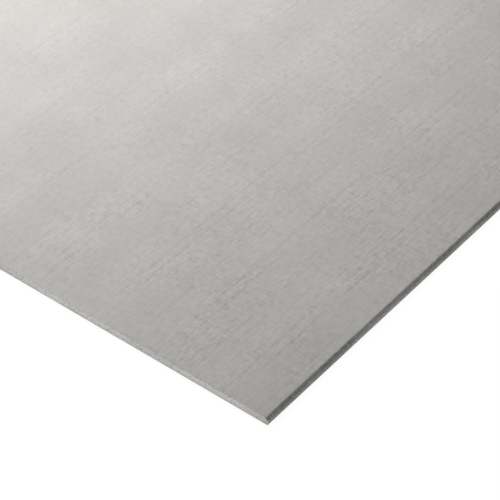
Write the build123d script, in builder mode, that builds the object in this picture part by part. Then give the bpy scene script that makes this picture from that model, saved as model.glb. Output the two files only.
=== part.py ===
"""Cement board: one flat cast sheet with bevelled long edges and square sawn ends.

The board lies flat on the XY plane with its face up. X runs along the formed long
edges, Y across the board, and the origin is the middle of the back face.
"""

import os
from math import atan2, cos

from build123d import *

# Driving dimensions, in millimetres. The width is over the rounded noses.
board_length = 1200.0
board_width = 900.0
board_thickness = 12.5

# Section of the two long edges, which the mould forms: a bevel runs out from the face to
# a blunt nose, and the land below the nose draws in again towards the back.
bevel_width = 5.3
bevel_depth = 5.2
land_draft = 2.1
nose_radius = 5.0
face_arris_radius = 2.0
back_arris_radius = 0.8

# The saw leaves the arrises of the two ends a little broken.
end_arris_break = 0.6

# The rounding takes this much off the tip where the bevel and the land would meet.
nose_height = board_thickness - bevel_depth
land_angle = atan2(land_draft, nose_height)
bevel_angle = atan2(bevel_width, bevel_depth)
tip_ratio = cos((bevel_angle - land_angle) / 2) / cos((bevel_angle + land_angle) / 2)
tip_loss = nose_radius * (tip_ratio - 1)

half_width = board_width / 2 + tip_loss
half_face = half_width - bevel_width
half_back = half_width - land_draft

with BuildPart() as board:
    with BuildSketch(Plane.YZ) as section:
        with BuildLine() as outline:
            Polyline(
                (half_back, 0),
                (half_width, nose_height),
                (half_face, board_thickness),
                (-half_face, board_thickness),
                (-half_width, nose_height),
                (-half_back, 0),
                close=True,
            )
        make_face()
        fillet(section.vertices().group_by(Axis.Y)[0], radius=back_arris_radius)
        fillet(section.vertices().group_by(Axis.Y)[-1], radius=face_arris_radius)
        across = section.vertices().group_by(Axis.X)
        fillet(across[0] + across[-1], radius=nose_radius)
    extrude(amount=board_length / 2, both=True)
    sawn_ends = board.faces().filter_by(Axis.X)
    chamfer(sawn_ends.edges(), length=end_arris_break)

board.part.label = "cement_board"

os.makedirs("parts", exist_ok=True)
export_step(board.part, "parts/cement_board.step")
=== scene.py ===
"""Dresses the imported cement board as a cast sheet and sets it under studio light.

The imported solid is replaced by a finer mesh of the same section. Its face carries the
print of the woven glass mesh that lies under the skin, its long edges keep the moulded
bevel and its ends are sawn. Lengths are in metres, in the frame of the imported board.
"""

from __future__ import annotations

import logging
import math
from dataclasses import dataclass
from enum import Enum

import bpy
from mathutils import Matrix, Vector

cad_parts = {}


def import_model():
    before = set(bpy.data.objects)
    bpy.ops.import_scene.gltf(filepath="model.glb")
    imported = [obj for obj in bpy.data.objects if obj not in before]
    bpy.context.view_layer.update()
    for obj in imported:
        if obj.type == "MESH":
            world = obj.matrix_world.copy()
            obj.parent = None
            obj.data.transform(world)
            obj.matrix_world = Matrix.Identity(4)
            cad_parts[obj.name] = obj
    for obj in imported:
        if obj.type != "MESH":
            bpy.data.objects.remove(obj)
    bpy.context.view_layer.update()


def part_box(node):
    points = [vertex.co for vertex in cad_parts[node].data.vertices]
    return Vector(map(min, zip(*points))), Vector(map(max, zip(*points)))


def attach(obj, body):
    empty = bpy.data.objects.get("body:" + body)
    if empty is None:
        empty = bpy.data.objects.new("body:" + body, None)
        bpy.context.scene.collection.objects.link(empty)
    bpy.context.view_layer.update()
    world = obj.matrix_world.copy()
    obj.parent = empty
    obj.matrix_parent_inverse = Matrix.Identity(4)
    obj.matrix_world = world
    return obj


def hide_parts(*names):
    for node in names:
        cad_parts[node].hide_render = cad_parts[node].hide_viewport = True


LOG = logging.getLogger("cement_board")
MM = 0.001
BOARD_NODE = "cement_board"
BOARD_BODY = "root"
NOISE_MEAN = 0.5
WHITE = (1.0, 1.0, 1.0)
ORIGIN = (0.0, 0.0, 0.0)
UNIT_GRID = 2.0
SAME_PLACE_DIGITS = 5
SHADER_TREE = "ShaderNodeTree"
GEOMETRY_TREE = "GeometryNodeTree"
VECTOR = "NodeSocketVector"
FLOAT = "NodeSocketFloat"
COLOUR = "NodeSocketColor"
GEOMETRY = "NodeSocketGeometry"

Feed = float | tuple[float, ...] | bpy.types.NodeSocket
Colour = tuple[float, float, float]
Range = tuple[float, float]


class Region(Enum):
    """The parts of the board's skin that are made in different ways, with their slots."""

    FACE = 0
    MOULDED_EDGE = 1
    SAWN_END = 2
    BACK = 3


class Run(Enum):
    """The way that a set of threads runs, with the axis that counts them."""

    ALONG_LENGTH = 1
    ACROSS_WIDTH = 0


class NodeSheet:
    """A node tree, with short methods for the nodes that the finishes use."""

    def __init__(self, tree: bpy.types.NodeTree) -> None:
        """Keeps the tree that the nodes go into."""
        self.tree = tree

    def add(self, kind: str, **settings: object) -> bpy.types.Node:
        """Adds one node.

        Args:
            kind: Blender's name for the type of node.
            **settings: properties of the node itself.

        Returns:
            The new node.
        """
        node = self.tree.nodes.new(kind)
        for name, value in settings.items():
            setattr(node, name, value)
        return node

    def feed(self, socket: bpy.types.NodeSocket, value: Feed) -> None:
        """Links an input to another node's output, or sets its plain value.

        Args:
            socket: the input.
            value: an output socket, a number or a tuple of numbers.
        """
        if isinstance(value, bpy.types.NodeSocket):
            self.tree.links.new(value, socket)
        else:
            socket.default_value = value

    def math(self, operation: str, *values: Feed) -> bpy.types.NodeSocket:
        """Adds a Math node.

        Args:
            operation: Blender's name for the sum.
            *values: its inputs in order.

        Returns:
            The node's output.
        """
        node = self.add("ShaderNodeMath", operation=operation)
        for socket, value in zip(node.inputs, values):
            self.feed(socket, value)
        return node.outputs[0]

    def total(self, start: float, *terms: tuple[Feed, float]) -> Feed:
        """Adds terms to a start, each of them a value times a number."""
        found = start
        for value, factor in terms:
            found = self.math("MULTIPLY_ADD", value, factor, found)
        return found

    def blend(self, value: Feed, low: float, high: float) -> bpy.types.NodeSocket:
        """Adds a Map Range node that eases from 0 at one value to 1 at another.

        Args:
            value: what is mapped.
            low: the value that gives 0.
            high: the value that gives 1, which may be the lower of the two.

        Returns:
            The eased share.
        """
        node = self.add("ShaderNodeMapRange", interpolation_type="SMOOTHSTEP")
        self.feed(node.inputs["Value"], value)
        node.inputs["From Min"].default_value = low
        node.inputs["From Max"].default_value = high
        return node.outputs["Result"]

    def spread(self, share: Feed, low: float, high: float) -> bpy.types.NodeSocket:
        """Spreads a share from 0 to 1 over a range.

        Args:
            share: the share.
            low: what a share of 0 gives.
            high: what a share of 1 gives.

        Returns:
            The value in the range.
        """
        return self.math("MULTIPLY_ADD", share, high - low, low)

    def split(self, vector: Feed) -> tuple[bpy.types.NodeSocket, ...]:
        """Adds a Separate XYZ node and returns its three outputs."""
        node = self.add("ShaderNodeSeparateXYZ")
        self.feed(node.inputs[0], vector)
        return tuple(node.outputs)

    def join(self, x: Feed, y: Feed, z: Feed) -> bpy.types.NodeSocket:
        """Adds a Combine XYZ node and returns its vector."""
        node = self.add("ShaderNodeCombineXYZ")
        for socket, value in zip(node.inputs, (x, y, z)):
            self.feed(socket, value)
        return node.outputs[0]

    def noise(
        self,
        vector: Feed,
        size: float,
        detail: float = 2.0,
        rough: float = 0.5,
    ) -> bpy.types.NodeSocket:
        """Adds a Noise Texture.

        Args:
            vector: the coordinates, in metres.
            size: the length of one lump, in metres.
            detail: how many finer layers are added.
            rough: how strong the finer layers are.

        Returns:
            The noise, about 0.5 on average.
        """
        node = self.add("ShaderNodeTexNoise")
        self.feed(node.inputs["Vector"], vector)
        node.inputs["Scale"].default_value = 1.0 / size
        node.inputs["Detail"].default_value = detail
        node.inputs["Roughness"].default_value = rough
        return node.outputs[0]

    def cells(self, vector: Feed, size: float) -> tuple[bpy.types.NodeSocket, bpy.types.NodeSocket]:
        """Adds a Voronoi Texture.

        Args:
            vector: the coordinates, in metres.
            size: the width of one cell, in metres.

        Returns:
            The distance from the cell's middle, in cells, and the cell's own random colour.
        """
        node = self.add("ShaderNodeTexVoronoi")
        self.feed(node.inputs["Vector"], vector)
        node.inputs["Scale"].default_value = 1.0 / size
        return node.outputs["Distance"], node.outputs["Color"]

    def chance(self, number: Feed) -> bpy.types.NodeSocket:
        """Adds a White Noise node: a random share that is fixed for each number."""
        node = self.add("ShaderNodeTexWhiteNoise", noise_dimensions="1D")
        self.feed(node.inputs["W"], number)
        return node.outputs["Value"]

    def tint(self, share: Feed, first: Feed, second: Feed) -> bpy.types.NodeSocket:
        """Adds a Mix node for two colours.

        Args:
            share: how much of the second colour shows.
            first: the first colour.
            second: the second colour.

        Returns:
            The mixed colour.
        """
        node = self.add("ShaderNodeMix", data_type="RGBA")
        inputs = [s for s in node.inputs if s.enabled]
        for socket, value in zip(inputs, (share, first, second)):
            self.feed(socket, value)
        return next(s for s in node.outputs if s.enabled)


def rgba(colour: Colour) -> tuple[float, float, float, float]:
    """Adds a full alpha to a colour."""
    return (*colour, 1.0)


def new_group(name: str, kind: str, takes: dict[str, str], gives: dict[str, str]) -> bpy.types.NodeTree:
    """Starts a node group.

    Args:
        name: the group's name.
        kind: Blender's name for the type of tree.
        takes: the types of its inputs, by their names.
        gives: the types of its outputs, by their names.

    Returns:
        The empty group.
    """
    tree = bpy.data.node_groups.new(name, kind)
    for way, sockets in (("INPUT", takes), ("OUTPUT", gives)):
        for socket, socket_type in sockets.items():
            tree.interface.new_socket(socket, in_out=way, socket_type=socket_type)
    return tree


@dataclass(frozen=True)
class ThreadSet:
    """One of the two sets of threads in the glass mesh, and how evenly its print shows.

    Attributes:
        run: the way that the threads run.
        seed: a number that sets the threads' own strengths and paths.
        drift: how far a thread strays to the side.
        fullness: the power that shapes the soft part of a line, fuller when it is lower.
        core: the share of a line that is a sharp core.
        patch_length: the length over which a thread turns from plain to faint.
        weakest_patch: the share that a thread keeps where it is faintest.
        weakest_clump: the share that it keeps where the whole print is faint.
    """

    run: Run
    seed: float
    drift: float
    fullness: float
    core: float
    patch_length: float
    weakest_patch: float
    weakest_clump: float


LONG_SET = ThreadSet(
    run=Run.ALONG_LENGTH,
    seed=11.0,
    drift=0.7 * MM,
    fullness=0.34,
    core=0.25,
    patch_length=60.0 * MM,
    weakest_patch=0.4,
    weakest_clump=0.75,
)
CROSS_SET = ThreadSet(
    run=Run.ACROSS_WIDTH,
    seed=47.0,
    drift=4.5 * MM,
    fullness=0.52,
    core=0.0,
    patch_length=32.0 * MM,
    weakest_patch=0.35,
    weakest_clump=0.52,
)


@dataclass(frozen=True)
class MeshPrint:
    """The print of the woven glass mesh, in which the long threads lie in pairs and bundles."""

    # Lay of the threads
    pitch: float = 7.0 * MM
    start: float = 0.0
    drift_length: float = 28.0 * MM
    drift_stretch: float = 6.0
    under_share: float = 0.55

    # Strength of single threads
    core_sharpness: float = 3.0
    long_luck_swing: float = 0.15
    cross_luck_bias: float = 1.6
    weakest_cross_thread: float = 0.15
    patch_stride: float = 3.0
    patch_range: Range = (0.34, 0.66)

    # Bundles of long threads, and the bands that they leave
    bundle: float = 8.0
    bundle_start: float = 8.0
    even_strength: float = 0.5
    odd_share: float = 0.08
    bundle_swing: float = 0.42
    double_swing: float = 0.2
    band_middle: float = 3.5
    band_swing: float = 0.025

    # Patches where the whole print is plain or faint
    clump_width: float = 44.0 * MM
    clump_stretch: float = 3.0
    clump_seed: float = 5.0
    clump_range: Range = (0.42, 0.66)
    clump_strength: float = 0.16
    clump_lift: float = 0.08

    # Streaks along both sets of threads
    slub_width: float = 4.4 * MM
    slub_squeeze: float = 0.3
    cross_slub_share: float = 0.7
    pale_slub_share: float = 0.65
    weakest_slub: float = 0.54

    # Pressing, which is deeper towards one long edge
    deep_side_y: float = -0.35
    faint_side_y: float = 0.3
    deep_strength: float = 0.94
    faint_strength: float = 0.47
    deep_lift: float = 0.045

    def dashes(
        self,
        sheet: NodeSheet,
        position: Feed,
        clump: Feed,
        threads: ThreadSet,
    ) -> bpy.types.NodeSocket:
        """Builds one set of threads in a shader or a geometry tree.

        Args:
            sheet: the tree.
            position: the place on the board.
            clump: how plain the whole print is to see there.
            threads: the set of threads.

        Returns:
            How strong the print is there, from 0 between threads to about 1 on a strong one.
        """
        axes = sheet.split(position)
        across = sheet.math("SUBTRACT", axes[threads.run.value], self.start)
        along = axes[1 - threads.run.value]
        count = self.thread_count(sheet, across, along, threads)
        thread = sheet.math("ROUND", count)
        own = self.own_strength(sheet, thread, threads)
        strength = sheet.math("MULTIPLY", own, self.patch(sheet, along, thread, threads))
        strength = sheet.math("MULTIPLY", strength, sheet.spread(clump, threads.weakest_clump, 1.0))
        strength = sheet.math("MULTIPLY_ADD", clump, self.clump_strength, strength)
        strength = sheet.math("MULTIPLY", strength, self.pressing(sheet, position))
        shown = sheet.math("MULTIPLY", self.groove(sheet, count, threads), strength)
        return sheet.math("MULTIPLY", shown, self.over_share(sheet, along, thread, threads.run))

    def thread_count(
        self,
        sheet: NodeSheet,
        across: Feed,
        along: Feed,
        threads: ThreadSet,
    ) -> bpy.types.NodeSocket:
        """Counts the threads across the board, with each one's sway to the side.

        Args:
            sheet: the tree.
            across: the place across the threads.
            along: the place along the threads.
            threads: the set of threads.

        Returns:
            The count, which is a whole number in the middle of a thread.
        """
        slow = sheet.math("DIVIDE", along, self.drift_stretch)
        sway = sheet.noise(sheet.join(slow, across, threads.seed), self.drift_length)
        swing = sheet.math("SUBTRACT", sway, NOISE_MEAN)
        swayed = sheet.math("MULTIPLY_ADD", swing, 2 * threads.drift, across)
        return sheet.math("DIVIDE", swayed, self.pitch)

    def groove(self, sheet: NodeSheet, count: Feed, threads: ThreadSet) -> bpy.types.NodeSocket:
        """Builds the section of a thread's line: a soft trough with a sharper core."""
        line = self.wave(sheet, count, 1.0)
        trough = sheet.math("POWER", line, threads.fullness)
        soft = sheet.math("MULTIPLY", trough, 1.0 - threads.core)
        sharp = sheet.math("POWER", line, self.core_sharpness)
        return sheet.math("MULTIPLY_ADD", sharp, threads.core, soft)

    def own_strength(self, sheet: NodeSheet, thread: Feed, threads: ThreadSet) -> bpy.types.NodeSocket:
        """Works out how strong a thread is by itself.

        Args:
            sheet: the tree.
            thread: the thread's whole number.
            threads: the set that it is in.

        Returns:
            Its strength: by bundles for the long threads, and mostly weak for the cross ones.
        """
        luck = sheet.chance(sheet.math("ADD", thread, threads.seed))
        if threads.run is Run.ALONG_LENGTH:
            share = sheet.spread(luck, 1.0 - self.long_luck_swing, 1.0 + self.long_luck_swing)
            return sheet.math("MULTIPLY", self.bundles(sheet, thread), share)
        rare = sheet.math("POWER", luck, self.cross_luck_bias)
        return sheet.spread(rare, self.weakest_cross_thread, 1.0)

    def patch(
        self,
        sheet: NodeSheet,
        along: Feed,
        thread: Feed,
        threads: ThreadSet,
    ) -> bpy.types.NodeSocket:
        """Builds the plain and faint stretches of a thread.

        Args:
            sheet: the tree.
            along: the place along the thread.
            thread: the thread's whole number.
            threads: the set that it is in.

        Returns:
            The share of the thread's strength that shows there.
        """
        apart = sheet.math("MULTIPLY", thread, self.patch_stride * threads.patch_length)
        stretches = sheet.noise(sheet.join(along, apart, threads.seed), threads.patch_length, detail=3.0)
        plain = sheet.blend(stretches, *self.patch_range)
        return sheet.spread(plain, threads.weakest_patch, 1.0)

    def over_share(self, sheet: NodeSheet, along: Feed, thread: Feed, run: Run) -> bpy.types.NodeSocket:
        """Tells where a thread lies over the threads that it crosses.

        Args:
            sheet: the tree.
            along: the place along the thread.
            thread: the thread's whole number.
            run: the way that the thread runs.

        Returns:
            1 where it lies over, falling to the share that still shows where it lies under.
        """
        crossed = sheet.math("DIVIDE", along, self.pitch)
        parity = sheet.math("ADD", thread, float(run.value))
        turns = sheet.math("ADD", crossed, parity)
        return sheet.spread(self.wave(sheet, turns, 2.0), self.under_share, 1.0)

    def bundles(self, sheet: NodeSheet, thread: Feed) -> bpy.types.NodeSocket:
        """Works out how heavy a long thread is from its place in its bundle.

        Args:
            sheet: the tree.
            thread: the thread's whole number.

        Returns:
            The thread's strength: every second one is heavier, and the first two of those in
            each bundle, and in each second bundle, heavier again.
        """
        from_pair = sheet.math("SUBTRACT", thread, self.bundle_start + 1.0)
        single = self.swing(sheet, from_pair, self.bundle, self.bundle_swing)
        double = self.swing(sheet, from_pair, 2 * self.bundle, self.double_swing)
        even = sheet.math("ADD", sheet.math("ADD", single, double), self.even_strength)
        pair_share = sheet.spread(self.wave(sheet, thread, 2.0), self.odd_share, 1.0)
        return sheet.math("MULTIPLY", even, pair_share)

    def bands(self, sheet: NodeSheet, position: Feed) -> bpy.types.NodeSocket:
        """Builds the broad paler and darker bands that every second bundle leaves."""
        across = sheet.math("SUBTRACT", sheet.split(position)[Run.ALONG_LENGTH.value], self.start)
        count = sheet.math("DIVIDE", across, self.pitch)
        from_middle = sheet.math("SUBTRACT", count, self.bundle_start + self.band_middle)
        return self.swing(sheet, from_middle, 2 * self.bundle, self.band_swing)

    def swing(self, sheet: NodeSheet, count: Feed, period: float, reach: float) -> bpy.types.NodeSocket:
        """Builds a wave that swings the same way above and below 0."""
        return sheet.spread(self.wave(sheet, count, period), -reach, reach)

    def wave(self, sheet: NodeSheet, count: Feed, period: float) -> bpy.types.NodeSocket:
        """Builds a wave from 0 to 1 that peaks at every multiple of the period."""
        turn = sheet.math("COSINE", sheet.math("MULTIPLY", count, 2 * math.pi / period))
        return sheet.math("MULTIPLY_ADD", turn, 0.5, 0.5)

    def clumps(self, sheet: NodeSheet, position: Feed) -> bpy.types.NodeSocket:
        """Builds the broad patches where the whole print is faint or plain to see."""
        x, y, _ = sheet.split(position)
        stretched = sheet.join(sheet.math("DIVIDE", x, self.clump_stretch), y, self.clump_seed)
        return sheet.blend(sheet.noise(stretched, self.clump_width), *self.clump_range)

    def depth_share(self, sheet: NodeSheet, position: Feed) -> bpy.types.NodeSocket:
        """Builds how deep the mesh was pressed, from 0 along one long edge to 1 along the other."""
        across = sheet.split(position)[Run.ALONG_LENGTH.value]
        return sheet.blend(across, self.faint_side_y, self.deep_side_y)

    def pressing(self, sheet: NodeSheet, position: Feed) -> bpy.types.NodeSocket:
        """Builds how strong the print is: stronger on the deep side of the board."""
        deep = self.depth_share(sheet, position)
        return sheet.spread(deep, self.faint_strength, self.deep_strength)

    def slubs(self, sheet: NodeSheet, position: Feed) -> bpy.types.NodeSocket:
        """Builds short streaks along both sets of threads.

        Args:
            sheet: the tree.
            position: the place on the board.

        Returns:
            The streaks, as a share above and below 0, the dark ones stronger than the pale.
        """
        x, y, z = sheet.split(position)
        along_x = sheet.join(sheet.math("MULTIPLY", x, self.slub_squeeze), y, z)
        along_y = sheet.join(x, sheet.math("MULTIPLY", y, self.slub_squeeze), z)
        long_streak = sheet.noise(along_x, self.slub_width, detail=1.0)
        cross_streak = sheet.noise(along_y, self.slub_width, detail=1.0)
        both = sheet.math("MULTIPLY_ADD", cross_streak, self.cross_slub_share, long_streak)
        level = sheet.math("SUBTRACT", both, NOISE_MEAN * (1.0 + self.cross_slub_share))
        return sheet.math("MINIMUM", level, sheet.math("MULTIPLY", level, self.pale_slub_share))

    def tone(self, sheet: NodeSheet, position: Feed, clump: Feed) -> bpy.types.NodeSocket:
        """Builds the streaks and bands, and evens out the tone where the print is strong.

        Args:
            sheet: the tree.
            position: the place on the board.
            clump: how plain the whole print is to see there.

        Returns:
            How much paler or darker the face is, as a share above and below 0.
        """
        shown = sheet.spread(clump, self.weakest_slub, 1.0)
        shown = sheet.math("MULTIPLY", shown, self.pressing(sheet, position))
        streaks = sheet.math("MULTIPLY", shown, self.slubs(sheet, position))
        lifted = sheet.math("MULTIPLY_ADD", clump, self.clump_lift, streaks)
        half_lift = self.deep_lift / 2
        lift = sheet.spread(self.depth_share(sheet, position), -half_lift, half_lift)
        lifted = sheet.math("ADD", lifted, lift)
        return sheet.math("ADD", lifted, self.bands(sheet, position))


@dataclass(frozen=True)
class CementGroups:
    """The shader node groups that the board's finishes share."""

    mesh_print: MeshPrint
    cloud_size: float = 140.0 * MM
    mottle_size: float = 5.0 * MM
    mottle_share: float = 0.9
    cloud_range: Range = (0.2, 0.8)
    pit_spacing: float = 5.0 * MM
    pit_choice: Range = (0.55, 0.7)
    pit_rim: Range = (0.26, 0.12)
    grain_size: float = 2.2 * MM

    def weave(self) -> bpy.types.NodeTree:
        """Builds the group for the mesh print.

        Returns:
            A group with each set of threads by itself, and the streaks and bands beside them.
        """
        gives = {"Long Threads": FLOAT, "Cross Threads": FLOAT, "Slubs": FLOAT}
        tree = new_group("weave_print", SHADER_TREE, {"Position": VECTOR}, gives)
        sheet = NodeSheet(tree)
        position = sheet.add("NodeGroupInput").outputs["Position"]
        result = sheet.add("NodeGroupOutput")
        clump = self.mesh_print.clumps(sheet, position)
        long_threads = self.mesh_print.dashes(sheet, position, clump, LONG_SET)
        cross_threads = self.mesh_print.dashes(sheet, position, clump, CROSS_SET)
        sheet.feed(result.inputs["Long Threads"], long_threads)
        sheet.feed(result.inputs["Cross Threads"], cross_threads)
        sheet.feed(result.inputs["Slubs"], self.mesh_print.tone(sheet, position, clump))
        return tree

    def clouds(self) -> bpy.types.NodeTree:
        """Builds the group for the cement's uneven tone.

        Returns:
            A group with a colour that drifts between a pale and a dark one.
        """
        takes = {"Position": VECTOR, "Pale": COLOUR, "Dark": COLOUR}
        tree = new_group("cement_clouds", SHADER_TREE, takes, {"Colour": COLOUR})
        sheet = NodeSheet(tree)
        given = sheet.add("NodeGroupInput").outputs
        result = sheet.add("NodeGroupOutput")
        broad = sheet.noise(given["Position"], self.cloud_size, detail=3.0, rough=0.55)
        fine = sheet.noise(given["Position"], self.mottle_size, detail=4.0, rough=0.65)
        mottle = sheet.math("SUBTRACT", fine, NOISE_MEAN)
        mixed = sheet.math("MULTIPLY_ADD", mottle, self.mottle_share, broad)
        share = sheet.blend(mixed, *self.cloud_range)
        sheet.feed(result.inputs["Colour"], sheet.tint(share, given["Dark"], given["Pale"]))
        return tree

    def pores(self) -> bpy.types.NodeTree:
        """Builds the group for pin holes and grains.

        Returns:
            A group with a mask of small pits and the height of the fine grain.
        """
        gives = {"Pits": FLOAT, "Grain": FLOAT}
        tree = new_group("cement_pores", SHADER_TREE, {"Position": VECTOR}, gives)
        sheet = NodeSheet(tree)
        position = sheet.add("NodeGroupInput").outputs["Position"]
        result = sheet.add("NodeGroupOutput")
        distance, random_colour = sheet.cells(position, self.pit_spacing)
        chosen = sheet.blend(sheet.split(random_colour)[0], *self.pit_choice)
        round_pit = sheet.blend(distance, *self.pit_rim)
        sheet.feed(result.inputs["Pits"], sheet.math("MULTIPLY", chosen, round_pit))
        grain = sheet.noise(position, self.grain_size, detail=4.0, rough=0.6)
        sheet.feed(result.inputs["Grain"], grain)
        return tree


@dataclass(frozen=True)
class CementFinish:
    """One of the board's cement skins. Depths are in metres, and shades are shares of its tone."""

    name: str
    pale: Colour
    dark: Colour
    roughness: float
    grain_depth: float
    pit_depth: float
    # Painted shade: how much darker the pits' colour is, for the shade inside the pin holes.
    pit_painted_shade: float
    grain_shade: float = 0.0
    long_thread_depth: float = 0.0
    cross_thread_depth: float = 0.0
    slub_depth: float = 0.0
    long_shade: float = 0.0
    cross_shade: float = 0.0
    slub_shade: float = 0.0
    roughness_swing: float = 0.08
    specular: float = 0.1

    def material(self, groups: dict[str, bpy.types.NodeTree]) -> bpy.types.Material:
        """Builds the finish's material.

        Args:
            groups: the shared node groups, by their short names.

        Returns:
            The material.
        """
        material = bpy.data.materials.new(self.name)
        material.use_nodes = True
        material.node_tree.nodes.clear()
        sheet = NodeSheet(material.node_tree)
        position = sheet.add("ShaderNodeTexCoord").outputs["Object"]
        shader = sheet.add("ShaderNodeBsdfPrincipled")
        clouds = self.placed(sheet, groups["clouds"], position)
        clouds.inputs["Pale"].default_value = rgba(self.pale)
        clouds.inputs["Dark"].default_value = rgba(self.dark)
        weave = self.placed(sheet, groups["weave"], position)
        pores = self.placed(sheet, groups["pores"], position)
        lit = sheet.add("ShaderNodeVectorMath", operation="SCALE")
        sheet.feed(lit.inputs["Vector"], clouds.outputs["Colour"])
        sheet.feed(lit.inputs["Scale"], self.shade(sheet, weave, pores))
        sheet.feed(shader.inputs["Base Color"], lit.outputs["Vector"])
        smoothest = self.roughness - self.roughness_swing
        roughest = self.roughness + self.roughness_swing
        sheet.feed(shader.inputs["Roughness"], sheet.spread(pores.outputs["Grain"], smoothest, roughest))
        shader.inputs["Specular IOR Level"].default_value = self.specular
        bump = sheet.add("ShaderNodeBump")
        bump.inputs["Distance"].default_value = 1.0
        sheet.feed(bump.inputs["Height"], self.height(sheet, weave, pores))
        sheet.feed(shader.inputs["Normal"], bump.outputs["Normal"])
        output = sheet.add("ShaderNodeOutputMaterial")
        sheet.feed(output.inputs["Surface"], shader.outputs["BSDF"])
        return material

    def placed(self, sheet: NodeSheet, group: bpy.types.NodeTree, position: Feed) -> bpy.types.Node:
        """Places a shared group in the material and gives it the position."""
        node = sheet.add("ShaderNodeGroup", node_tree=group)
        sheet.feed(node.inputs["Position"], position)
        return node

    def shade(
        self,
        sheet: NodeSheet,
        weave: bpy.types.Node,
        pores: bpy.types.Node,
    ) -> bpy.types.NodeSocket:
        """Works out how the print and the grain darken the cement, with painted shade in the pits.

        Args:
            sheet: the material's tree.
            weave: the placed group of the print.
            pores: the placed group of the pits and the grain.

        Returns:
            The share of the cement's tone that is left.
        """
        grain = sheet.math("SUBTRACT", pores.outputs["Grain"], NOISE_MEAN)
        # The pits' term is painted shade in the pin holes.
        return sheet.total(
            1.0,
            (weave.outputs["Long Threads"], -self.long_shade),
            (weave.outputs["Cross Threads"], -self.cross_shade),
            (weave.outputs["Slubs"], self.slub_shade),
            (pores.outputs["Pits"], -self.pit_painted_shade),
            (grain, self.grain_shade),
        )

    def height(
        self,
        sheet: NodeSheet,
        weave: bpy.types.Node,
        pores: bpy.types.Node,
    ) -> bpy.types.NodeSocket:
        """Works out the fine relief that the bump shows.

        Args:
            sheet: the material's tree.
            weave: the placed group of the print.
            pores: the placed group of the pits and the grain.

        Returns:
            The height, in metres.
        """
        return sheet.total(
            0.0,
            (pores.outputs["Grain"], self.grain_depth),
            (pores.outputs["Pits"], -self.pit_depth),
            (weave.outputs["Long Threads"], -self.long_thread_depth),
            (weave.outputs["Cross Threads"], -self.cross_thread_depth),
            (weave.outputs["Slubs"], self.slub_depth),
        )


FACE_SKIN = CementFinish(
    name="face_cement",
    pale=(0.472, 0.464, 0.444),
    dark=(0.432, 0.425, 0.406),
    roughness=0.85,
    grain_depth=0.12 * MM,
    pit_depth=0.1 * MM,
    pit_painted_shade=0.04,
    long_thread_depth=0.05 * MM,
    cross_thread_depth=0.2 * MM,
    slub_depth=0.45 * MM,
    long_shade=0.125,
    cross_shade=0.125,
    slub_shade=0.45,
)
MOULDED_SKIN = CementFinish(
    name="moulded_cement",
    pale=(0.55, 0.543, 0.516),
    dark=(0.34, 0.336, 0.319),
    roughness=0.85,
    grain_depth=0.7 * MM,
    pit_depth=0.5 * MM,
    pit_painted_shade=0.35,
    grain_shade=1.1,
)
SAWN_SKIN = CementFinish(
    name="sawn_cement",
    pale=(0.53, 0.524, 0.498),
    dark=(0.385, 0.38, 0.362),
    roughness=0.92,
    grain_depth=0.25 * MM,
    pit_depth=0.5 * MM,
    pit_painted_shade=0.3,
    grain_shade=0.4,
)
BACK_SKIN = CementFinish(
    name="back_cement",
    pale=(0.46, 0.455, 0.435),
    dark=(0.38, 0.375, 0.358),
    roughness=0.9,
    grain_depth=0.12 * MM,
    pit_depth=0.3 * MM,
    pit_painted_shade=0.1,
    long_thread_depth=0.15 * MM,
    cross_thread_depth=0.15 * MM,
    slub_depth=0.12 * MM,
    long_shade=0.12,
    cross_shade=0.08,
    slub_shade=0.12,
)


@dataclass(frozen=True)
class Arc:
    """A rounding between two straight stretches of the edge's outline."""

    corner: Vector
    before: Vector
    after: Vector
    radius: float

    def points(self, steps: int) -> list[Vector]:
        """Works out the rounding's points.

        Args:
            steps: how many straight pieces stand for the arc.

        Returns:
            The points from one end of the arc to the other.
        """
        arrive = (self.corner - self.before).normalized()
        leave = (self.after - self.corner).normalized()
        turn = arrive.angle(leave)
        setback = self.radius * math.tan(turn / 2)
        start = self.corner - arrive * setback
        inward = (leave - arrive).normalized()
        centre = self.corner + inward * (self.radius / math.cos(turn / 2))
        spoke = start - centre
        way = math.copysign(1.0, arrive.x * leave.y - arrive.y * leave.x)
        found = []
        for step in range(steps + 1):
            angle = way * turn * step / steps
            spun = Matrix.Rotation(angle, 2) @ spoke
            found.append(centre + spun)
        return found


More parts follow.
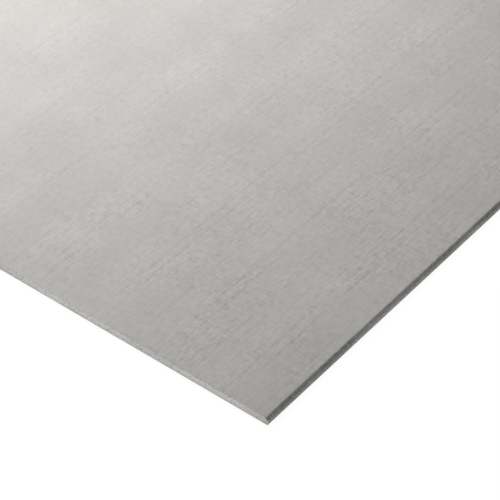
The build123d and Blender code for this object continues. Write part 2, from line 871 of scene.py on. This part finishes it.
@dataclass
class BoardSheet:
    """The board as one fine mesh: a printed face, a moulded or sawn rim and a back."""

    half_length: float
    half_width: float
    thickness: float
    bevel_width: float = 5.3 * MM
    bevel_depth: float = 5.2 * MM
    land_draft: float = 2.1 * MM
    nose_radius: float = 5.0 * MM
    face_arris_radius: float = 2.0 * MM
    back_arris_radius: float = 0.8 * MM
    end_arris_break: float = 0.6 * MM
    end_back_break: float = 1.3 * MM
    rows_per_thread: int = 2
    column_step: float = 4.0 * MM
    arc_steps: int = 4
    nose_steps: int = 6
    back_rim: float = 8.0 * MM
    back_cell: float = 50.0 * MM
    corner_break: float = 0.5 * MM
    corner_steps: int = 2
    print_depth: float = 0.2 * MM
    print_margin: float = 5.0 * MM
    face_tolerance: float = 0.001 * MM
    wander: float = 0.12 * MM
    wander_length: float = 18.0 * MM
    wander_middle: float = 0.55
    foot_range: Range = (0.2 * MM, 1.5 * MM)
    smooth_angle_deg: float = 32.0
    flat_cosine: float = 0.95

    @classmethod
    def from_frame(cls) -> BoardSheet:
        """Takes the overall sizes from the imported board.

        Returns:
            The sheet, with its width over the noses before they are rounded.
        """
        low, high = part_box(BOARD_NODE)
        sheet = cls(half_length=high.x, half_width=high.y, thickness=high.z - low.z)
        sheet.half_width += high.y - max(point.x for point in sheet.edge_outline())
        return sheet

    def edge_outline(self) -> list[Vector]:
        """Works out the long edge's outline, from the face down to the back.

        Returns:
            Points of width and height.
        """
        face = Vector((self.half_width - self.bevel_width, self.thickness))
        nose = Vector((self.half_width, self.thickness - self.bevel_depth))
        back = Vector((self.half_width - self.land_draft, 0.0))
        face_middle = Vector((0.0, self.thickness))
        back_middle = Vector((0.0, 0.0))
        shoulder = Arc(face, face_middle, nose, self.face_arris_radius).points(self.arc_steps)
        blunt = Arc(nose, face, back, self.nose_radius).points(self.nose_steps)
        heel = Arc(back, nose, back_middle, self.back_arris_radius).points(self.arc_steps)
        break_share = (blunt[-1].y - self.end_back_break) / (blunt[-1].y - heel[0].y)
        land = [blunt[-1].lerp(heel[0], share) for share in (break_share / 2, break_share)]
        return shoulder + blunt + land + heel

    def mesh_print(self) -> MeshPrint:
        """Fits a whole number of long threads to the flat of the face."""
        flat = self.edge_outline()[0].x
        threads = round(2 * flat / MeshPrint.pitch)
        return MeshPrint(pitch=2 * flat / threads, start=-flat)

    def half_length_at(self, height: float) -> float:
        """Gives the board's half length at a height, with the broken arrises of its ends."""
        below_face = self.end_arris_break - (self.thickness - height)
        above_back = self.end_back_break - height
        return self.half_length - max(0.0, below_face, above_back)

    def build(self, mesh_print: MeshPrint) -> bpy.types.Object:
        """Models the board.

        Args:
            mesh_print: the print that its face carries.

        Returns:
            The finished object, at the origin.
        """
        board = self.add_face(mesh_print)
        self.drop_rim()
        self.close_back()
        self.break_corners(board)
        bpy.ops.object.mode_set(mode="OBJECT")
        self.press_print(board, mesh_print)
        bpy.ops.object.shade_smooth_by_angle(angle=math.radians(self.smooth_angle_deg))
        return board

    def add_face(self, mesh_print: MeshPrint) -> bpy.types.Object:
        """Adds the face as a grid with a few rows to each long thread.

        Args:
            mesh_print: the print, for its pitch.

        Returns:
            The new object, in edit mode.
        """
        rim = self.edge_outline()[0]
        half_x = self.half_length_at(rim.y)
        columns = round(2 * half_x / self.column_step)
        rows = self.rows_per_thread * round(2 * rim.x / mesh_print.pitch)
        bpy.ops.object.select_all(action="DESELECT")
        bpy.ops.mesh.primitive_grid_add(x_subdivisions=columns, y_subdivisions=rows, size=UNIT_GRID)
        board = bpy.context.active_object
        board.name = "board_sheet"
        bpy.ops.object.mode_set(mode="EDIT")
        bpy.ops.mesh.select_mode(type="EDGE")
        bpy.ops.mesh.select_all(action="SELECT")
        bpy.ops.transform.resize(value=(half_x, rim.x, 1.0))
        bpy.ops.transform.translate(value=(0.0, 0.0, rim.y))
        return board

    def drop_rim(self) -> None:
        """Extrudes the face's border down the edge's outline, ring by ring."""
        bpy.ops.mesh.select_all(action="DESELECT")
        bpy.ops.mesh.select_non_manifold()
        outline = self.edge_outline()
        for above, below in zip(outline, outline[1:]):
            growth_x = self.half_length_at(below.y) / self.half_length_at(above.y)
            growth_y = below.x / above.x
            bpy.ops.mesh.extrude_region_move()
            bpy.ops.transform.translate(value=(0.0, 0.0, below.y - above.y))
            bpy.ops.transform.resize(value=(growth_x, growth_y, 1.0), center_override=ORIGIN)

    def close_back(self) -> None:
        """Turns the rim in under the board and bridges it to a coarse grid for the back."""
        heel = self.edge_outline()[-1]
        half_x = self.half_length_at(heel.y)
        inner_x = half_x - self.back_rim
        inner_y = heel.x - self.back_rim
        shrink_x = inner_x / half_x
        shrink_y = inner_y / heel.x
        bpy.ops.mesh.extrude_region_move()
        bpy.ops.transform.resize(value=(shrink_x, shrink_y, 1.0), center_override=ORIGIN)
        bpy.ops.mesh.select_all(action="DESELECT")
        grid_x = inner_x - self.back_rim
        grid_y = inner_y - self.back_rim
        columns = round(2 * grid_x / self.back_cell)
        rows = round(2 * grid_y / self.back_cell)
        bpy.ops.mesh.primitive_grid_add(x_subdivisions=columns, y_subdivisions=rows, size=UNIT_GRID)
        bpy.ops.transform.resize(value=(grid_x, grid_y, 1.0), center_override=ORIGIN)
        bpy.ops.mesh.flip_normals()
        bpy.ops.mesh.select_all(action="DESELECT")
        bpy.ops.mesh.select_non_manifold()
        bpy.ops.mesh.bridge_edge_loops()

    def break_corners(self, board: bpy.types.Object) -> None:
        """Bevels the four upright arrises where the long edges meet the sawn ends.

        Args:
            board: the object, in edit mode.
        """
        bpy.ops.mesh.select_all(action="DESELECT")
        bpy.ops.object.mode_set(mode="OBJECT")
        outline = self.edge_outline()
        corners = {self.rounded(self.half_length_at(p.y), p.x, p.y) for p in outline}
        vertices = board.data.vertices
        at_corner = [self.rounded(abs(v.co.x), abs(v.co.y), v.co.z) in corners for v in vertices]
        for edge in board.data.edges:
            first, second = edge.vertices
            edge.select = at_corner[first] and at_corner[second]
        bpy.ops.object.mode_set(mode="EDIT")
        bpy.ops.mesh.bevel(offset=self.corner_break, segments=self.corner_steps, affect="EDGES")

    @staticmethod
    def rounded(x: float, y: float, z: float) -> tuple[float, float, float]:
        """Rounds a point so that two places a few micrometres apart compare as one."""
        digits = SAME_PLACE_DIGITS
        return (round(x, digits), round(y, digits), round(z, digits))

    def press_print(self, board: bpy.types.Object, mesh_print: MeshPrint) -> None:
        """Presses the long threads' print into the face, and lets the rim wander a little.

        Args:
            board: the object.
            mesh_print: the print.
        """
        through = {"Geometry": GEOMETRY}
        tree = new_group("press_print", GEOMETRY_TREE, through, through)
        sheet = NodeSheet(tree)
        given = sheet.add("NodeGroupInput")
        result = sheet.add("NodeGroupOutput")
        position = sheet.add("GeometryNodeInputPosition").outputs[0]
        normal = sheet.add("GeometryNodeInputNormal").outputs[0]
        x, y, z = sheet.split(position)
        rim = self.edge_outline()[0]
        from_end = sheet.math("SUBTRACT", self.half_length_at(rim.y), sheet.math("ABSOLUTE", x))
        from_edge = sheet.math("SUBTRACT", rim.x, sheet.math("ABSOLUTE", y))
        inside = sheet.blend(sheet.math("MINIMUM", from_end, from_edge), 0.0, self.print_margin)
        on_face = sheet.math("GREATER_THAN", z, self.thickness - self.face_tolerance)
        clump = mesh_print.clumps(sheet, position)
        threads = mesh_print.dashes(sheet, position, clump, LONG_SET)
        sunk = sheet.math("MULTIPLY", sheet.math("MULTIPLY", inside, on_face), threads)
        pressed = sheet.math("MULTIPLY", sunk, -self.print_depth)
        off_floor = sheet.blend(z, *self.foot_range)
        on_rim = sheet.math("MULTIPLY", sheet.math("SUBTRACT", 1.0, on_face), off_floor)
        lumps = sheet.noise(position, self.wander_length, detail=3.0)
        lumps = sheet.math("SUBTRACT", lumps, self.wander_middle)
        rim_shift = sheet.math("MULTIPLY", sheet.math("MULTIPLY", lumps, on_rim), self.wander)
        offset = sheet.add("ShaderNodeVectorMath", operation="SCALE")
        sheet.feed(offset.inputs["Vector"], normal)
        sheet.feed(offset.inputs["Scale"], sheet.math("ADD", pressed, rim_shift))
        moved = sheet.add("GeometryNodeSetPosition")
        sheet.feed(moved.inputs["Geometry"], given.outputs["Geometry"])
        sheet.feed(moved.inputs["Offset"], offset.outputs["Vector"])
        sheet.feed(result.inputs["Geometry"], moved.outputs["Geometry"])
        modifier = board.modifiers.new("press_print", "NODES")
        modifier.node_group = tree
        bpy.ops.object.modifier_apply(modifier=modifier.name)

    def dress(self, board: bpy.types.Object, mesh_print: MeshPrint) -> None:
        """Gives each region of the board its own cement skin.

        Args:
            board: the object.
            mesh_print: the print that the skins show.
        """
        shared = CementGroups(mesh_print)
        groups = {"weave": shared.weave(), "clouds": shared.clouds(), "pores": shared.pores()}
        skins = {
            Region.FACE: FACE_SKIN,
            Region.MOULDED_EDGE: MOULDED_SKIN,
            Region.SAWN_END: SAWN_SKIN,
            Region.BACK: BACK_SKIN,
        }
        board.data.materials.clear()
        for region in Region:
            board.data.materials.append(skins[region].material(groups))
        for polygon in board.data.polygons:
            polygon.material_index = self.region_of(polygon).value

    def region_of(self, polygon: bpy.types.MeshPolygon) -> Region:
        """Tells which region a polygon of the board is in.

        Args:
            polygon: the polygon.

        Returns:
            Its region, from its place and the way it faces.
        """
        normal = polygon.normal
        if normal.z > self.flat_cosine:
            return Region.FACE
        if normal.z < -self.flat_cosine:
            return Region.BACK
        if abs(normal.x) > abs(normal.y):
            return Region.SAWN_END
        return Region.MOULDED_EDGE


@dataclass(frozen=True)
class Floor:
    """A plain white floor with a painted glow that lights the board from below and fades to a painted
    shadow at the board's foot; it keeps the board's cast shadow.
    """

    reach: float = 30.0
    bounce: Colour = (0.8, 0.8, 0.8)
    glow_share: float = 0.93
    glow: float = 1.03
    # Painted glow: the floor's own light, which lights the board's edges from below though the floor is
    # no lamp.
    lift: float = 0.43
    # Width of the painted shadow at the board's foot, over which the painted glow fades in.
    painted_foot_shadow_width: float = 9.0 * MM

    def build(self, board: BoardSheet) -> bpy.types.Object:
        """Adds the floor.

        Args:
            board: the board that lies on it.

        Returns:
            The floor.
        """
        bpy.ops.object.select_all(action="DESELECT")
        bpy.ops.mesh.primitive_plane_add(size=2 * self.reach)
        floor = bpy.context.active_object
        floor.name = "floor"
        floor.data.materials.append(self.material(board))
        return floor

    def material(self, board: BoardSheet) -> bpy.types.Material:
        """Builds the floor's white.

        Args:
            board: the board, around whose foot the floor's painted glow fades out to a painted shadow.

        Returns:
            A matt white with a painted glow of its own that lights the board, most of it whitened for
            the camera.
        """
        material = bpy.data.materials.new("floor_white")
        material.use_nodes = True
        material.node_tree.nodes.clear()
        sheet = NodeSheet(material.node_tree)
        matt = sheet.add("ShaderNodeBsdfDiffuse")
        matt.inputs["Color"].default_value = rgba(self.bounce)
        # Painted glow: light that the floor gives off itself and that lights the board from below.
        lift = sheet.add("ShaderNodeEmission")
        x, y, _ = sheet.split(sheet.add("ShaderNodeTexCoord").outputs["Object"])
        # Painted shadow: the glow fades to nothing at the board's outline, as if the board's foot shaded
        # it.
        past_end = sheet.math("SUBTRACT", sheet.math("ABSOLUTE", x), board.half_length)
        past_edge = sheet.math("SUBTRACT", sheet.math("ABSOLUTE", y), board.half_width)
        clear = sheet.blend(sheet.math("MAXIMUM", past_end, past_edge), 0.0, self.painted_foot_shadow_width)
        sheet.feed(lift.inputs["Strength"], sheet.math("MULTIPLY", clear, self.lift))
        lit = sheet.add("ShaderNodeAddShader")
        sheet.feed(lit.inputs[0], matt.outputs[0])
        sheet.feed(lit.inputs[1], lift.outputs[0])
        glow = sheet.add("ShaderNodeEmission")
        glow.inputs["Strength"].default_value = self.glow
        seen = seen_share(sheet)
        mixed = sheet.add("ShaderNodeMixShader")
        sheet.feed(mixed.inputs[0], sheet.math("MULTIPLY", seen, self.glow_share))
        sheet.feed(mixed.inputs[1], lit.outputs[0])
        sheet.feed(mixed.inputs[2], glow.outputs[0])
        output = sheet.add("ShaderNodeOutputMaterial")
        sheet.feed(output.inputs["Surface"], mixed.outputs[0])
        return material


def seen_share(sheet: NodeSheet) -> bpy.types.NodeSocket:
    """Adds a Light Path node.

    Args:
        sheet: the tree.

    Returns:
        1 for rays by which the camera sees the surface, directly or in gloss or glass.
    """
    path = sheet.add("ShaderNodeLightPath").outputs
    gloss = sheet.math("MAXIMUM", path["Is Glossy Ray"], path["Is Transmission Ray"])
    return sheet.math("MAXIMUM", path["Is Camera Ray"], gloss)


@dataclass(frozen=True)
class SoftBox:
    """A large soft lamp that points at a spot on the board."""

    name: str
    place: tuple[float, float, float]
    aim: tuple[float, float, float]
    width: float
    height: float
    watts: float

    def build(self) -> bpy.types.Object:
        """Adds the lamp and returns it."""
        lamp = bpy.data.lights.new(self.name, "AREA")
        lamp.shape = "RECTANGLE"
        lamp.size = self.width
        lamp.size_y = self.height
        lamp.energy = self.watts
        box = bpy.data.objects.new(self.name, lamp)
        box.location = self.place
        way = Vector(self.aim) - Vector(self.place)
        box.rotation_euler = way.to_track_quat("-Z", "Y").to_euler()
        bpy.context.scene.collection.objects.link(box)
        return box


KEY_LAMP = SoftBox(
    name="key_lamp",
    place=(0.11, 1.02, 1.44),
    aim=(-0.3, -0.1, 0.0),
    width=0.7,
    height=0.3,
    watts=43.3,
)
END_LAMP = SoftBox(
    name="end_lamp",
    place=(-2.6, 0.0, 0.5),
    aim=(-0.6, -0.1, 0.0),
    width=1.2,
    height=0.6,
    watts=22.0,
)
EDGE_LAMP = SoftBox(
    name="edge_lamp",
    place=(-0.2, -2.6, 0.08),
    aim=(-0.3, -0.45, 0.006),
    width=1.4,
    height=0.14,
    watts=4.7,
)


@dataclass(frozen=True)
class Sky:
    """An even pale surround."""

    strength: float = 0.04

    def build(self) -> None:
        """Sets the world: dim for lighting, white where it is seen."""
        world = bpy.data.worlds.new("surround")
        world.use_nodes = True
        world.node_tree.nodes.clear()
        sheet = NodeSheet(world.node_tree)
        ground = sheet.add("ShaderNodeBackground")
        seen = seen_share(sheet)
        sheet.feed(ground.inputs["Strength"], sheet.spread(seen, self.strength, 1.0))
        ground.inputs["Color"].default_value = rgba(WHITE)
        output = sheet.add("ShaderNodeOutputWorld")
        sheet.feed(output.inputs["Surface"], ground.outputs[0])
        bpy.context.scene.world = world


@dataclass(frozen=True)
class CornerCamera:
    """A long lens that looks down on the board's near corner."""

    image_side_px: float = 500.0
    focal_px: float = 2242.0
    sensor: float = 36.0
    heading_deg: float = 38.553
    pitch_deg: float = 42.707
    corner_px: tuple[float, float] = (265.18, 417.89)
    thickness_px: float = 9.9
    clip_end: float = 100.0

    def build(self, board: BoardSheet) -> bpy.types.Object:
        """Adds the camera.

        Args:
            board: the board, for its near corner and its thickness.

        Returns:
            The camera, set as the scene's own.
        """
        heading = math.radians(self.heading_deg)
        pitch = math.radians(self.pitch_deg)
        level = Vector((math.cos(heading), math.sin(heading), 0.0))
        forward = level * math.cos(pitch) - Vector((0.0, 0.0, math.sin(pitch)))
        right = forward.cross(Vector((0.0, 0.0, 1.0))).normalized()
        up = right.cross(forward)
        middle = self.image_side_px / 2
        shift_right = (self.corner_px[0] - middle) / self.focal_px
        shift_up = (middle - self.corner_px[1]) / self.focal_px
        distance = board.thickness * self.focal_px / self.thickness_px
        rim = board.edge_outline()[0]
        corner = Vector((-board.half_length, board.bevel_width - board.half_width, rim.y))
        lens = bpy.data.cameras.new("corner_camera")
        lens.sensor_width = self.sensor
        lens.lens = self.sensor * self.focal_px / self.image_side_px
        lens.clip_end = self.clip_end
        camera = bpy.data.objects.new("corner_camera", lens)
        turn = Matrix((right, up, -forward)).transposed().to_4x4()
        place = corner - (forward + right * shift_right + up * shift_up) * distance
        camera.matrix_world = Matrix.Translation(place) @ turn
        bpy.context.scene.collection.objects.link(camera)
        bpy.context.scene.camera = camera
        return camera


def main() -> None:
    """Builds the board, the stage and the camera, and reports each piece."""
    logging.basicConfig(level=logging.INFO, format="%(name)s: %(message)s")
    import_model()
    sheet = BoardSheet.from_frame()
    mesh_print = sheet.mesh_print()
    board = sheet.build(mesh_print)
    sheet.dress(board, mesh_print)
    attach(board, BOARD_BODY)
    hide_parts(BOARD_NODE)
    LOG.info("%s has %d faces", board.name, len(board.data.polygons))
    Floor().build(sheet)
    Sky().build()
    for lamp in (KEY_LAMP, END_LAMP, EDGE_LAMP):
        lamp.build()
        LOG.info("%s is set", lamp.name)
    CornerCamera().build(sheet)
    bpy.context.scene.view_settings.view_transform = "Standard"


if __name__ == "__main__":
    main()
